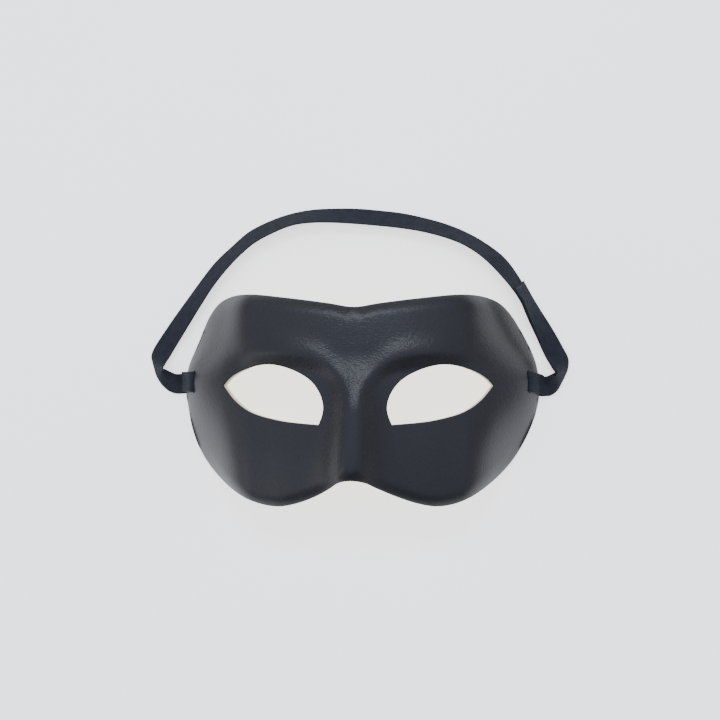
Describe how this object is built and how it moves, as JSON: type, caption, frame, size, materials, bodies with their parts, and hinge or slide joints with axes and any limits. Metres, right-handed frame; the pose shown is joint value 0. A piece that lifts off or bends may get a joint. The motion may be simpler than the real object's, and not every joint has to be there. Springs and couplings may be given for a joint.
{
  "type": "half mask",
  "caption": "Moulded half mask with almond eye holes, a black leatherette skin over a cream shell, and a flat elastic head strap looped through temple slots.",
  "frame": {"origin": "on the table, under the middle of the mask's own outline, with the temple rims resting at z = 0", "axes": "+X towards the wearer's left temple, +Y towards the brow edge, +Z out of the face, away from the wearer"},
  "size_m": [0.2082, 0.1448, 0.0501],
  "materials": {
    "shell": "cream moulded shell, matt and slightly uneven inside",
    "leather_cover": "black leatherette with a fine pebbled grain and a soft sheen",
    "strap": "black woven elastic, dull, with fine ribs along its length"
  },
  "bodies": {
    "root": {"shell": "shell", "leather_cover": "leather_cover", "strap": "strap"}
  },
  "joints": []
}
